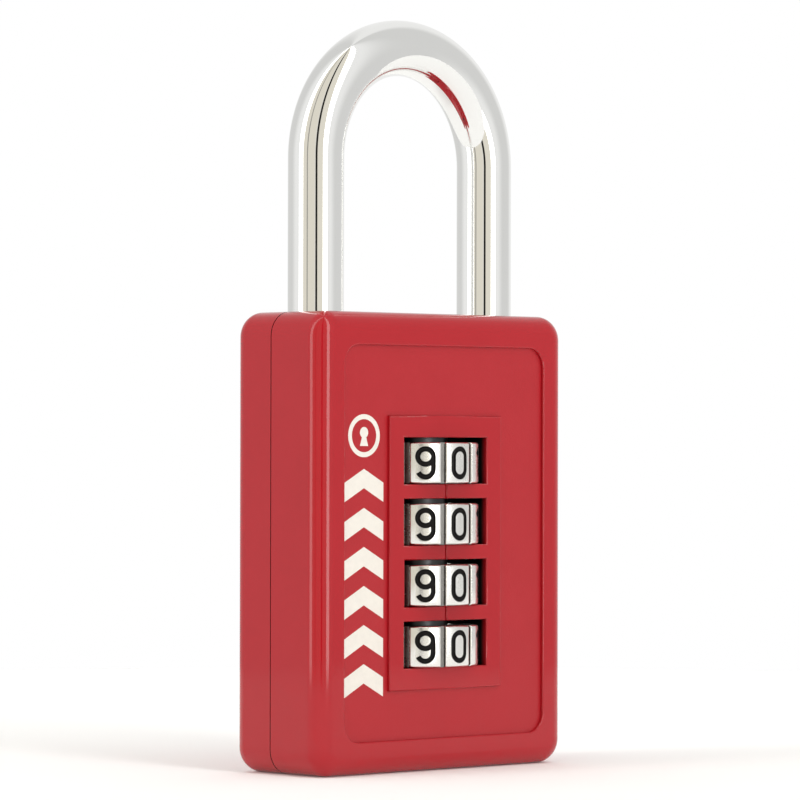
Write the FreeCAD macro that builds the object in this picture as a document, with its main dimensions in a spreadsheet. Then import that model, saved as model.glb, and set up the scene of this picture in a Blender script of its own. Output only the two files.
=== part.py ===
"""Four dial combination padlock, millimetres.

+Z is up through the shackle, -Y is the front with the dials, +X is to the right.
The origin is on the flat underside of the case, half way across it, in the plane that the
two legs of the shackle share. The two halves of the case meet a little behind that plane.
The lock is shut, with every dial at the 0 of its open code.
"""
import FreeCAD, Part
import math
import os
import re

import Sketcher
from FreeCAD import Placement, Rotation, Vector

DIAL_COUNT = 4
DIGIT_COUNT = 10
TOE_RIVET_COUNT = 3

# alias, value, what it is
SIZES = [
    ("bar_diameter", 6.35, "round bar of the shackle, a quarter of an inch"),
    ("leg_spacing", 26.4, "between the axes of the two legs"),
    ("shackle_rise", 33.7, "top of the case to the outside of the crown"),
    ("bar_clearance", 0.2, "round each leg in its bore"),
    ("toe_swing_gap", 1.3, "toe clear of the case when the shackle is up"),
    ("toe_floor_gap", 0.9, "under the toe when the shackle is down"),
    ("toe_chamfer", 0.8, "on the end of each leg"),
    ("neck_depth", 1.15, "groove round the heel leg for the lift plate"),
    ("heel_foot", 2.8, "full bar left under the neck"),
    ("spring_bay", 20.0, "under the heel leg, for the shackle spring"),

    ("joint_offset", 0.75, "joint of the case behind the plane of the legs"),
    ("side_wall", 2.72, "case outside each leg bore"),
    ("floor_wall", 2.6, "case under the mechanism"),
    ("top_wall", 3.28, "case over the mechanism"),
    ("rear_wall", 1.78, "case behind the detent spring"),
    ("corner_radius", 2.8, "case corners seen from the front"),
    ("edge_round", 2.2, "case edges round the front and the back"),
    ("rim_width", 3.75, "smooth rim round the sunk panel"),
    ("panel_depth", 0.4, "how far the panel is sunk"),
    ("panel_radius", 2.2, "corners of the sunk panel"),
    ("plate_side", 2.25, "dial plate outside the windows, each side"),
    ("plate_end", 2.45, "dial plate outside the windows, top and bottom"),
    ("window_above", 0.57, "window above its dial"),
    ("window_below", 0.1, "window below its dial"),
    ("window_side", 1.376, "window beside its dial, at the front face"),
    ("window_depth", 3.6, "depth of the wide part of a window"),
    ("index_width", 0.3, "reading line cut between the windows"),
    ("index_depth", 0.25, "depth of the reading line"),

    ("dial_radius", 6.95, "outside of a dial"),
    ("dial_height", 4.6, "rim of a dial, along its axis"),
    ("dial_pitch", 6.91, "from one dial to the next, and the lift of the shackle"),
    ("dial_setback", 4.72, "dial axis behind the front face"),
    ("dial_offset", 2.8, "dial axis in front of the plane of the legs"),
    ("dial_clearance", 0.2, "round a dial in its pocket"),
    ("dial_end_gap", 0.08, "above and below a dial in its pocket"),
    ("dial_chamfer", 0.25, "both edges of the rim"),
    ("groove_width", 0.6, "between two digit faces"),
    ("groove_depth", 0.45, "between two digit faces"),

    ("clutch_radius", 3.4, "outside of a clutch sleeve"),
    ("clutch_wall", 0.55, "wall of a clutch sleeve"),
    ("clutch_clearance", 0.12, "round a clutch in its dial and in the case"),
    ("clutch_gap", 0.06, "between one clutch and the next"),
    ("tooth_height", 0.5, "clutch tooth beyond the sleeve"),
    ("tooth_width", 1.1, "clutch tooth across"),
    ("tooth_length", 1.1, "clutch tooth along the axis"),
    ("tooth_gap", 0.1, "dial spline beyond the tooth"),
    ("web_thickness", 1.4, "floor of a clutch that a fin has to pass"),
    ("reset_travel", 1.3, "clutches down and out of their dials"),

    ("spindle_radius", 1.2, "spindle between its fins"),
    ("spindle_clearance", 0.12, "round the spindle"),
    ("fin_end_gap", 0.2, "end of a fin to the clutch sleeve round it"),
    ("fin_width", 1.3, "fin across"),
    ("fin_thickness", 1.5, "fin along the axis"),
    ("fin_side_gap", 0.15, "each side of a fin in its slot"),
    ("fin_top_gap", 0.35, "over a fin once the clutches are down"),
    ("spindle_tail", 0.8, "floor of the case to the end of the spindle"),
    ("bottom_bay", 8.07, "floor of the case to the lowest clutch"),

    ("plate_thickness", 1.5, "lift plate"),
    ("plate_gap", 0.2, "round the lift plate, and in the neck"),
    ("plate_half_width", 2.7, "lift plate, each side of its hole"),
    ("fork_overhang", 1.8, "fork past the axis of the heel leg"),
    ("fork_arm", 1.2, "each arm of the fork"),
    ("head_gap", 0.7, "highest clutch to the lift plate"),
    ("head_radius", 1.9, "riveted head of the spindle"),
    ("head_height", 0.8, "riveted head of the spindle"),
    ("head_room", 0.3, "over the head when the shackle is up"),

    ("collar_height", 3.6, "reset collar under the lowest clutch"),
    ("bushing_radius", 2.0, "outside of the bottom bushing"),
    ("bushing_height", 2.8, "bottom bushing"),
    ("reset_wire", 0.45, "wire of the reset spring"),
    ("reset_turns", 3.5, "turns of the reset spring"),
    ("shackle_wire", 0.7, "wire of the shackle spring"),
    ("shackle_coil", 5.0, "outside diameter of the shackle spring"),
    ("shackle_turns", 10.5, "turns of the shackle spring"),

    ("spring_room", 1.35, "behind the dials, for the detent spring"),
    ("leaf_thickness", 0.3, "detent spring"),
    ("leaf_standoff", 0.42, "back of the dials to the leaf"),
    ("leaf_finger", 2.2, "height of a finger"),
    ("leaf_spine", 2.0, "width of the spine"),
    ("leaf_reach", 4.6, "dial axis to the far edge of the spine"),
    ("tip_depth", 0.19, "tip of a finger inside the rim of the dial"),
    ("pin_radius", 0.6, "rivets of the detent spring"),
    ("pin_head", 1.0, "head radius of the same rivets"),

    ("rivet_radius", 1.1, "case rivets"),
    ("rivet_head", 1.9, "head of a case rivet"),
    ("rivet_head_height", 1.0, "head of a case rivet, sunk in the back"),
    ("rivet_depth", 4.6, "case rivet beyond the joint of the case"),
    ("rivet_fit", 0.02, "round a case rivet"),
    ("rivet_low", 6.6, "height of the lowest rivets"),
    ("rivet_step", 16.4, "from one rivet to the next up the toe side"),
]

# worked out from the sizes above
DERIVED = [
    ("bore_radius", "bar_diameter / 2 + bar_clearance"),
    ("half_spacing", "leg_spacing / 2"),
    ("half_width", "half_spacing + bore_radius + side_wall"),
    ("front_depth", "dial_offset + dial_setback"),
    ("rear_depth", "dial_radius - dial_offset + spring_room + rear_wall"),
    ("stack_bottom", "floor_wall + bottom_bay"),
    ("stack_top", f"stack_bottom + {DIAL_COUNT} * dial_pitch"),
    ("lift", "dial_pitch"),
    ("plate_bottom", "stack_top + head_gap"),
    ("plate_top", "plate_bottom + plate_thickness"),
    ("bay_top", "plate_top + head_height + lift + head_room"),
    ("body_height", "bay_top + top_wall"),
    ("first_dial", "stack_bottom + dial_pitch / 2"),
    ("pocket_radius", "dial_radius + dial_clearance"),
    ("window_half", "sqrt(dial_radius * dial_radius - dial_setback * dial_setback) + window_side"),
    ("window_height", "window_below + dial_height + window_above"),
    ("plate_half", "window_half + plate_side"),
    ("dial_plate_bottom", "first_dial - dial_height / 2 - window_below - plate_end"),
    ("dial_plate_height", f"{DIAL_COUNT - 1} * dial_pitch + window_height + 2 * plate_end"),
    ("clutch_bore", "clutch_radius + clutch_clearance"),
    ("spline_radius", "clutch_radius + tooth_height + clutch_clearance"),
    ("sleeve_bore", "clutch_radius - clutch_wall"),
    ("clutch_height", "dial_pitch - clutch_gap"),
    ("fin_reach", "sleeve_bore - fin_end_gap"),
    ("spindle_bore", "spindle_radius + spindle_clearance"),
    ("fin_top", "stack_bottom - reset_travel - fin_top_gap"),
    ("neck_radius", "bar_diameter / 2 - neck_depth"),
    ("heel_end", "plate_bottom - plate_gap - heel_foot"),
    ("spring_seat", "heel_end - spring_bay"),
    ("toe_end", "body_height - lift + toe_swing_gap"),
    ("crown_centre", "body_height + shackle_rise - bar_diameter / 2 - half_spacing"),
    ("fork_half", "neck_radius + plate_gap + fork_arm"),
    ("leaf_front", "dial_radius - dial_offset + leaf_standoff"),
    ("pocket_back", "dial_radius - dial_offset + spring_room"),
    ("collar_top", "stack_bottom - clutch_gap / 2"),
]

SIZE_NAMES = {name for name, value, note in SIZES}
DERIVED_NAMES = {name for name, text in DERIVED}

doc = FreeCAD.newDocument("combination_padlock")
sheet = doc.addObject("Spreadsheet::Sheet", "Dimensions")
derived = doc.addObject("App::VarSet", "Derived")
subparts = []


def words(text):
    """The text as an expression, with each named size found in the document."""
    def owner(match):
        word = match.group(0)
        if word in SIZE_NAMES:
            return "Dimensions." + word
        if word in DERIVED_NAMES:
            return "Derived." + word
        return word
    return re.sub(r"[a-z_][a-z_0-9]*", owner, str(text))


def fill_sheet():
    for row, (name, value, note) in enumerate(SIZES, start=1):
        sheet.set(f"A{row}", note)
        sheet.set(f"B{row}", str(value))
        sheet.setAlias(f"B{row}", name)
    doc.recompute()
    for name, text in DERIVED:
        derived.addProperty("App::PropertyFloat", name, "Worked out")
        derived.setExpression(name, words(text))
        doc.recompute()


def size(name):
    """The value of a named size, for features that take plain numbers."""
    return getattr(derived if name in DERIVED_NAMES else sheet, name)


def bind(thing, **expressions):
    """Bind properties, with __ for the dot in a name such as Placement.Base.x."""
    for name, text in expressions.items():
        thing.setExpression(name.replace("__", "."), words(text))
    return thing


def place(thing, x="0", y="0", z="0"):
    return bind(thing, Placement__Base__x=x, Placement__Base__y=y, Placement__Base__z=z)


def box(name, x, y, z):
    """A block from its (low, high) pair along each axis."""
    block = doc.addObject("Part::Box", name)
    for side, (low, high) in zip(("Length", "Width", "Height"), (x, y, z)):
        bind(block, **{side: f"({high}) - ({low})"})
    return place(block, x[0], y[0], z[0])


def rod(name, radius, low, high, x="0", y="0"):
    """An upright cylinder."""
    cylinder = doc.addObject("Part::Cylinder", name)
    bind(cylinder, Radius=radius, Height=f"({high}) - ({low})")
    return place(cylinder, x, y, low)


def rod_back(name, radius, low, high, x, z):
    """A cylinder that runs from y = low to y = high."""
    cylinder = doc.addObject("Part::Cylinder", name)
    cylinder.Placement.Rotation = Rotation(Vector(1, 0, 0), -90)
    bind(cylinder, Radius=radius, Height=f"({high}) - ({low})")
    return place(cylinder, x, low, z)


def fuse(name, pieces):
    joined = doc.addObject("Part::MultiFuse", name)
    joined.Shapes = pieces
    return joined


def cut(name, base, tool):
    rest = doc.addObject("Part::Cut", name)
    rest.Base = base
    rest.Tool = tool
    return rest


def subpart(thing, label):
    thing.Label = label
    subparts.append(thing)
    return thing


def round_edges(name, base, radius, wanted):
    """Fillet the edges of base that wanted picks."""
    doc.recompute()
    rounded = doc.addObject("Part::Fillet", name)
    rounded.Base = base
    edges = enumerate(base.Shape.Edges, start=1)
    rounded.Edges = [(index, radius, radius) for index, edge in edges if wanted(edge)]
    return rounded


def runs_along(edge, axis):
    """True for an edge whose every point moves along one axis only."""
    bounds = edge.BoundBox
    across = {"x": (bounds.YLength, bounds.ZLength), "y": (bounds.XLength, bounds.ZLength),
              "z": (bounds.XLength, bounds.YLength)}[axis]
    return max(across) < 1e-6


def dial_level(number):
    """Height of the middle of a dial, counted from 1 at the bottom."""
    return f"first_dial + {number - 1} * dial_pitch"


# ---- sketches -------------------------------------------------------------------------------

def sketch_on(body, name, plane, offset=None):
    sketch = body.newObject("Sketcher::SketchObject", name)
    role = next(item for item in body.Origin.OriginFeatures if item.Role == plane)
    sketch.AttachmentSupport = (role, "")
    sketch.MapMode = "FlatFace"
    if offset is not None:
        bind(sketch, AttachmentOffset__Base__z=offset)
    return sketch


def draw_polygon(sketch, corners):
    """A closed outline whose corners are (x, y) pairs of expressions."""
    first = sketch.GeometryCount
    count = len(corners)
    starts = []
    for index in range(count):
        turn = 2 * math.pi * index / count
        starts.append(Vector(10 * math.cos(turn), 10 * math.sin(turn), 0))
    for index in range(count):
        sketch.addGeometry(Part.LineSegment(starts[index], starts[(index + 1) % count]), False)
    for index in range(count):
        following = first + (index + 1) % count
        sketch.addConstraint(Sketcher.Constraint("Coincident", first + index, 2, following, 1))
    for index, corner in enumerate(corners):
        start = (starts[index].x, starts[index].y)
        for kind, value, text in zip(("DistanceX", "DistanceY"), start, corner):
            rule = Sketcher.Constraint(kind, -1, 1, first + index, 1, value)
            number = sketch.addConstraint(rule)
            sketch.setExpression(f"Constraints[{number}]", words(text))


def draw_rectangle(sketch, x, y):
    draw_polygon(sketch, [(x[0], y[0]), (x[1], y[0]), (x[1], y[1]), (x[0], y[1])])


def draw_circle(sketch, radius, x="0", y="0"):
    index = sketch.addGeometry(Part.Circle(Vector(1, 1, 0), Vector(0, 0, 1), 5), False)
    for kind, text in (("DistanceX", x), ("DistanceY", y)):
        number = sketch.addConstraint(Sketcher.Constraint(kind, -1, 1, index, 3, 1.0))
        sketch.setExpression(f"Constraints[{number}]", words(text))
    number = sketch.addConstraint(Sketcher.Constraint("Radius", index, 5.0))
    sketch.setExpression(f"Constraints[{number}]", words(radius))


def pad(body, name, sketch, length):
    feature = body.newObject("PartDesign::Pad", name)
    feature.Profile = sketch
    return bind(feature, Length=length)


def pocket(body, name, sketch, length):
    """A pocket that cuts upwards from its sketch."""
    feature = body.newObject("PartDesign::Pocket", name)
    feature.Profile = sketch
    feature.Reversed = True
    return bind(feature, Length=length)


def round_the_axis(body, name, feature, count):
    doc.recompute()
    pattern = body.newObject("PartDesign::PolarPattern", name)
    pattern.Originals = [feature]
    upright = next(item for item in body.Origin.OriginFeatures if item.Role == "Z_Axis")
    pattern.Axis = (upright, [""])
    pattern.Angle = 360
    pattern.Occurrences = count
    body.Tip = pattern
    return pattern


# ---- case -----------------------------------------------------------------------------------

def case_half(name, y_face):
    """A half of the case, rounded at its corners and round its outer face."""
    low, high = ("-front_depth", "joint_offset") if y_face < 0 else ("joint_offset", "rear_depth")
    block = box(name + "_block", ("-half_width", "half_width"), (low, high), ("0", "body_height"))
    corners = round_edges(name + "_corners", block, size("corner_radius"),
                          lambda edge: runs_along(edge, "y"))
    doc.recompute()
    face = -size("front_depth") if y_face < 0 else size("rear_depth")
    return round_edges(name + "_round", corners, size("edge_round"),
                       lambda edge: abs(edge.BoundBox.YMin - face) < 1e-4
                       and abs(edge.BoundBox.YMax - face) < 1e-4)


def dial_pockets():
    """Room for the dials, open towards the joint of the case so that they drop in."""
    pieces = []
    for number in range(1, DIAL_COUNT + 1):
        low = f"{dial_level(number)} - dial_height / 2 - dial_end_gap"
        high = f"{dial_level(number)} + dial_height / 2 + dial_end_gap"
        pieces.append(rod(f"dial_pocket_{number}", "pocket_radius", low, high, y="-dial_offset"))
        pieces.append(box(f"dial_way_{number}", ("-pocket_radius", "pocket_radius"),
                          ("-dial_offset", "joint_offset"), (low, high)))
    return pieces


def mechanism_room():
    """Everything hollow that the two halves share."""
    pieces = dial_pockets()
    pieces.append(rod("sleeve_bore", "clutch_bore", "floor_wall", "stack_top",
                      y="-dial_offset"))
    pieces.append(box("sleeve_way", ("-clutch_bore", "clutch_bore"),
                      ("-dial_offset", "joint_offset"), ("floor_wall", "stack_top")))
    lift_room = ("stack_top", "bay_top")
    end = "(plate_half_width + plate_gap)"
    pieces.append(box("plate_bay", ("-half_spacing", end),
                      (f"-dial_offset - {end}", f"-dial_offset + {end}"), lift_room))
    pieces.append(box("fork_bay", ("-half_spacing - fork_overhang - plate_gap", end),
                      ("-fork_half - plate_gap", "fork_half + plate_gap"), lift_room))
    for name, x, low in (("heel", "-half_spacing", "spring_seat"),
                         ("toe", "half_spacing", "toe_end - toe_floor_gap")):
        pieces.append(rod(name + "_bore", "bore_radius", low, "body_height + 1", x=x))
        pieces.append(box(name + "_way", (f"{x} - bore_radius", f"{x} + bore_radius"),
                          ("0", "joint_offset"), (low, "body_height + 1")))
    return pieces


def rivet_places():
    return [("-half_spacing", "rivet_low")] + [
        ("half_spacing", f"rivet_low + {step} * rivet_step") for step in range(TOE_RIVET_COUNT)]


def rivet_room(name, fit):
    """Shanks and sunk heads of the case rivets, larger all round by fit."""
    pieces = []
    for number, (x, z) in enumerate(rivet_places(), start=1):
        shank = rod_back(f"{name}_shank_{number}", f"rivet_radius + {fit}",
                         f"joint_offset - rivet_depth - {fit}", "rear_depth", x, z)
        head = rod_back(f"{name}_head_{number}", f"rivet_head + {fit}",
                        f"rear_depth - rivet_head_height - {fit}", "rear_depth", x, z)
        pieces.append(fuse(f"{name}_{number}", [shank, head]))
    return pieces


def sunk_panel():
    """The shallow field round the dial plate."""
    front = ("-front_depth - 1", "-front_depth + panel_depth")
    field = box("panel_field", ("-half_width + rim_width", "half_width - rim_width"), front,
                ("rim_width", "body_height - rim_width"))
    field = round_edges("panel_corners", field, size("panel_radius"),
                        lambda edge: runs_along(edge, "y"))
    plate = box("plate_island", ("-plate_half", "plate_half"), front,
                ("dial_plate_bottom", "dial_plate_bottom + dial_plate_height"))
    return cut("panel_room", field, plate)


def windows():
    pieces = []
    for number in range(1, DIAL_COUNT + 1):
        low = f"{dial_level(number)} - dial_height / 2 - window_below"
        pieces.append(box(f"window_{number}", ("-window_half", "window_half"),
                          ("-front_depth - 1", "-front_depth + window_depth"),
                          (low, f"{low} + window_height")))
    return pieces


def index_lines():
    """The reading line, on the bars between the windows."""
    low = f"{dial_level(1)} + dial_height / 2"
    high = f"{dial_level(DIAL_COUNT)} - dial_height / 2"
    return [box("index_line", ("-index_width / 2", "index_width / 2"),
                ("-front_depth - 1", "-front_depth + index_depth"), (low, high))]


def detent_room():
    """Pocket behind the dials for the detent spring, and the holes of its rivets."""
    low = f"{dial_level(1)} - leaf_finger / 2 - plate_gap"
    high = f"{dial_level(DIAL_COUNT)} + leaf_finger / 2 + plate_gap"
    pieces = [box("leaf_pocket", ("-leaf_reach - plate_gap", "leaf_reach"),
                  ("joint_offset - 1", "pocket_back"), (low, high))]
    for number, z in enumerate(detent_rivet_levels(), start=1):
        pieces.append(rod_back(f"leaf_rivet_hole_{number}", "pin_radius + rivet_fit",
                               "leaf_front", "pocket_back + rear_wall / 2 + rivet_fit",
                               "-leaf_reach + leaf_spine / 2", z))
    return pieces


def detent_rivet_levels():
    """Between the first and second dials, and between the last two."""
    return [f"{dial_level(1)} + dial_pitch / 2", f"{dial_level(DIAL_COUNT - 1)} + dial_pitch / 2"]


def make_case():
    room = fuse("mechanism_room", mechanism_room())
    holes = fuse("rivet_holes", rivet_room("rivet_hole", "rivet_fit"))
    front_room = fuse("front_room", [room, holes, sunk_panel()] + windows() + index_lines())
    subpart(cut("FrontCase", case_half("front", -1), front_room), "front_case")
    rear_room = fuse("rear_room", [room, holes] + detent_room())
    subpart(cut("RearCase", case_half("rear", 1), rear_room), "rear_case")

    rivets = doc.addObject("Part::Compound", "CaseRivets")
    rivets.Links = rivet_room("rivet", "0")
    subpart(rivets, "case_rivets")


# ---- shackle --------------------------------------------------------------------------------

def leg(name, low, x):
    """A straight leg with a chamfered end."""
    tip = doc.addObject("Part::Cone", name + "_tip")
    bind(tip, Radius1="bar_diameter / 2 - toe_chamfer", Radius2="bar_diameter / 2",
         Height="toe_chamfer")
    place(tip, x, "0", low)
    return [tip, rod(name, "bar_diameter / 2", f"{low} + toe_chamfer", "crown_centre", x=x)]


def make_shackle():
    crown = doc.addObject("Part::Torus", "crown")
    crown.Placement.Rotation = Rotation(Vector(1, 0, 0), 90)
    bind(crown, Radius1="half_spacing", Radius2="bar_diameter / 2")
    crown.Angle3 = 180
    place(crown, z="crown_centre")
    pieces = leg("heel_leg", "heel_end", "-half_spacing")
    pieces += leg("toe_leg", "toe_end", "half_spacing")
    whole = fuse("shackle_bar", pieces + [crown])
    low, high = "plate_bottom - plate_gap", "plate_top + plate_gap"
    around = rod("neck_around", "bar_diameter", low, high, x="-half_spacing")
    core = rod("neck_core", "neck_radius", low, high, x="-half_spacing")
    subpart(cut("Shackle", whole, cut("neck_ring", around, core)), "shackle")


# ---- spindle and lift plate -----------------------------------------------------------------

def make_spindle():
    pieces = [rod("spindle_shaft", "spindle_radius", "floor_wall + spindle_tail", "plate_top"),
              rod("spindle_head", "head_radius", "plate_top", "plate_top + head_height")]
    for number in range(1, DIAL_COUNT + 1):
        top = f"fin_top + {number - 1} * dial_pitch"
        pieces.append(box(f"fin_{number}", ("-fin_width / 2", "fin_width / 2"), ("0", "fin_reach"),
                          (f"{top} - fin_thickness", top)))
    subpart(place(fuse("Spindle", pieces), y="-dial_offset"), "spindle")


def make_lift_plate():
    """A plate riveted on the spindle, with a fork that sits in the neck of the heel leg."""
    body = doc.addObject("PartDesign::Body", "LiftPlate")
    outline = sketch_on(body, "plate_outline", "XY_Plane")
    tip = "-half_spacing - fork_overhang"
    draw_polygon(outline, [
        ("plate_half_width", "-dial_offset - plate_half_width"),
        ("plate_half_width", "-dial_offset + plate_half_width"),
        ("-half_spacing + bore_radius", "fork_half"), (tip, "fork_half"), (tip, "-fork_half"),
        ("-half_spacing + bore_radius", "-fork_half"),
        ("-half_spacing / 2", "-dial_offset - plate_half_width")])
    pad(body, "plate_blank", outline, "plate_thickness")
    hole = sketch_on(body, "spindle_hole", "XY_Plane")
    draw_circle(hole, "spindle_radius + rivet_fit", y="-dial_offset")
    pocket(body, "spindle_seat", hole, "plate_thickness")
    seat = sketch_on(body, "neck_circle", "XY_Plane")
    draw_circle(seat, "neck_radius + plate_gap / 2", x="-half_spacing")
    pocket(body, "neck_seat", seat, "plate_thickness")
    mouth = sketch_on(body, "fork_mouth", "XY_Plane")
    draw_rectangle(mouth, (f"{tip} - 1", "-half_spacing"),
                   ("-neck_radius - plate_gap / 2", "neck_radius + plate_gap / 2"))
    pocket(body, "fork_slot", mouth, "plate_thickness")
    subpart(place(body, z="plate_bottom"), "lift_plate")


# ---- dials and clutches ---------------------------------------------------------------------

def make_dial(number):
    """A ring with ten digit faces, splined above its middle and open below it."""
    body = doc.addObject("PartDesign::Body", f"Dial{number}")
    half = "dial_height / 2"
    profile = sketch_on(body, f"dial_profile_{number}", "XZ_Plane")
    draw_polygon(profile, [
        ("clutch_bore", "-tooth_gap"), ("clutch_bore", half),
        ("dial_radius - dial_chamfer", half), ("dial_radius", f"{half} - dial_chamfer"),
        ("dial_radius", f"dial_chamfer - {half}"), ("dial_radius - dial_chamfer", f"-{half}"),
        ("spline_radius", f"-{half}"), ("spline_radius", "-tooth_gap")])
    ring = body.newObject("PartDesign::Revolution", f"dial_ring_{number}")
    ring.Profile = profile
    ring.ReferenceAxis = (profile, ["V_Axis"])
    ring.Angle = 360

    bottom = f"-{half} - 1"
    groove = sketch_on(body, f"groove_outline_{number}", "XY_Plane", bottom)
    draw_rectangle(groove, ("dial_radius - groove_depth", "dial_radius + 1"),
                   ("-groove_width / 2", "groove_width / 2"))
    groove_cut = pocket(body, f"groove_{number}", groove, "dial_height + 2")
    round_the_axis(body, f"grooves_{number}", groove_cut, DIGIT_COUNT)

    notch = sketch_on(body, f"spline_outline_{number}", "XY_Plane", "-tooth_gap")
    draw_rectangle(notch, ("clutch_bore - clutch_clearance * 3", "spline_radius"),
                   ("-tooth_width / 2 - clutch_clearance", "tooth_width / 2 + clutch_clearance"))
    notch_cut = pocket(body, f"spline_{number}", notch, f"{half} + tooth_gap")
    round_the_axis(body, f"splines_{number}", notch_cut, DIGIT_COUNT)

    # a digit face looks forwards, so the grooves start half a step round from the front
    body.Placement.Rotation = Rotation(Vector(0, 0, 1), -90 + 180 / DIGIT_COUNT)
    subpart(place(body, y="-dial_offset", z=dial_level(number)), f"dial_{number}")


def make_clutch(number):
    """A sleeve with teeth for its dial, and a slotted web that one fin has to pass."""
    body = doc.addObject("PartDesign::Body", f"Clutch{number}")
    outer = sketch_on(body, f"sleeve_outline_{number}", "XY_Plane")
    draw_circle(outer, "clutch_radius")
    pad(body, f"sleeve_{number}", outer, "clutch_height")

    # the teeth start at the middle of the dial
    level = "(dial_pitch - clutch_gap) / 2"
    tooth = sketch_on(body, f"tooth_outline_{number}", "XY_Plane", level)
    draw_rectangle(tooth, ("clutch_radius - clutch_wall / 2", "clutch_radius + tooth_height"),
                   ("-tooth_width / 2", "tooth_width / 2"))
    tooth_pad = pad(body, f"tooth_{number}", tooth, "tooth_length")
    round_the_axis(body, f"teeth_{number}", tooth_pad, DIGIT_COUNT)

    room = sketch_on(body, f"room_outline_{number}", "XY_Plane", "web_thickness")
    draw_circle(room, "sleeve_bore")
    pocket(body, f"fin_room_{number}", room, "clutch_height")
    hole = sketch_on(body, f"web_hole_{number}", "XY_Plane", "-1")
    draw_circle(hole, "spindle_bore")
    pocket(body, f"spindle_way_{number}", hole, "clutch_height")
    slot = sketch_on(body, f"slot_outline_{number}", "XY_Plane", "-1")
    draw_rectangle(slot, ("-fin_width / 2 - fin_side_gap", "fin_width / 2 + fin_side_gap"),
                   ("0", "fin_reach + fin_side_gap"))
    body.Tip = pocket(body, f"fin_slot_{number}", slot, "web_thickness + 1")

    # the slot looks back, and a tooth sits in each spline of the dial
    low = f"{dial_level(number)} - clutch_height / 2"
    subpart(place(body, y="-dial_offset", z=low), f"clutch_{number}")


# ---- pieces under the dials -----------------------------------------------------------------

def make_bottom_pieces():
    collar_low = "collar_top - collar_height"
    outer = rod("collar_outer", "clutch_radius", collar_low, "collar_top", y="-dial_offset")
    inner = rod("collar_inner", "sleeve_bore", f"{collar_low} - 1", "collar_top + 1",
                y="-dial_offset")
    subpart(cut("ResetCollar", outer, inner), "reset_collar")
    top = "floor_wall + bushing_height"
    outer = rod("bushing_outer", "bushing_radius", "floor_wall", top, y="-dial_offset")
    inner = rod("bushing_inner", "spindle_bore", "floor_wall - 1", f"{top} + 1",
                y="-dial_offset")
    subpart(cut("BottomBushing", outer, inner), "bottom_bushing")


def make_spring(label, coil_radius, wire, turns, low, high, centre):
    """A coil spring of round wire that fills the height from low to high."""
    rise = (high - low - wire) / turns
    # the path is joined from pieces of about half a turn, so that no swept face is long
    count = math.ceil(2 * turns)
    share = turns / count
    edges = []
    for index in range(count):
        piece = Part.makeHelix(rise, rise * share, coil_radius)
        spin = Rotation(Vector(0, 0, 1), 360 * share * index)
        piece.Placement = Placement(Vector(0, 0, rise * share * index), spin)
        edges += piece.Edges
    start = Vector(coil_radius, 0, 0)
    slope = Vector(0, 2 * math.pi * coil_radius, rise)
    section = Part.Wire(Part.Circle(start, slope, wire / 2).toShape())
    coil = Part.Wire(edges).makePipeShell([section], True, True)
    expected = math.pi * (wire / 2) ** 2 * turns * slope.Length
    if abs(coil.Volume - expected) > 0.01 * expected:
        raise RuntimeError(f"{label} holds {coil.Volume:.2f} mm3 and not {expected:.2f}")
    spring = doc.addObject("Part::Feature", label)
    spring.Shape = coil
    spring.Placement.Base = Vector(centre[0], centre[1], low + wire / 2)
    subpart(spring, label)


def make_springs():
    axis_y = -size("dial_offset")
    wire = size("reset_wire")
    coil = size("clutch_radius") - wire / 2 - size("clutch_clearance")
    make_spring("reset_spring", coil, wire, size("reset_turns"), size("floor_wall"),
                size("collar_top") - size("collar_height"), (0, axis_y))
    wire = size("shackle_wire")
    make_spring("shackle_spring", (size("shackle_coil") - wire) / 2, wire,
                size("shackle_turns"), size("spring_seat"), size("heel_end"),
                (-size("half_spacing"), 0))


# ---- detent spring --------------------------------------------------------------------------

def make_detent_spring():
    """One leaf with a finger for each dial, whose bent tip sits in a groove of the dial."""
    leaf = ("leaf_front", "leaf_front + leaf_thickness")
    low = f"{dial_level(1)} - leaf_finger / 2"
    high = f"{dial_level(DIAL_COUNT)} + leaf_finger / 2"
    spine = box("leaf_spine_strip", ("-leaf_reach", "-leaf_reach + leaf_spine"), leaf,
                (low, high))
    pieces = [spine]
    groove_turn = f"{180 / DIGIT_COUNT} deg"
    groove_x = f"dial_radius * sin({groove_turn})"
    rim_y = f"dial_radius * cos({groove_turn}) - dial_offset"
    tip = (f"{groove_x} - leaf_thickness / 2", f"{groove_x} + leaf_thickness / 2")
    for number in range(1, DIAL_COUNT + 1):
        span = (f"{dial_level(number)} - leaf_finger / 2", f"{dial_level(number)} + leaf_finger / 2")
        pieces.append(box(f"finger_{number}", ("-leaf_reach", tip[1]), leaf, span))
        pieces.append(box(f"finger_tip_{number}", tip, (f"{rim_y} - tip_depth", "leaf_front"),
                          span))
    holes = [rod_back(f"leaf_hole_{number}", "pin_radius + rivet_fit", "leaf_front - 1",
                      "leaf_front + leaf_thickness + 1", "-leaf_reach + leaf_spine / 2", z)
             for number, z in enumerate(detent_rivet_levels(), start=1)]
    subpart(cut("DetentSpring", fuse("leaf_blank", pieces), fuse("leaf_holes", holes)),
            "detent_spring")

    rivets = doc.addObject("Part::Compound", "DetentRivets")
    links = []
    for number, z in enumerate(detent_rivet_levels(), start=1):
        x = "-leaf_reach + leaf_spine / 2"
        head = rod_back(f"leaf_rivet_head_{number}", "pin_head", "leaf_front - leaf_thickness",
                        "leaf_front", x, z)
        shank = rod_back(f"leaf_rivet_shank_{number}", "pin_radius", "leaf_front",
                         "pocket_back + rear_wall / 2", x, z)
        links.append(fuse(f"leaf_rivet_{number}", [head, shank]))
    rivets.Links = links
    subpart(rivets, "detent_rivets")


# ---- build, check, write --------------------------------------------------------------------

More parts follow.
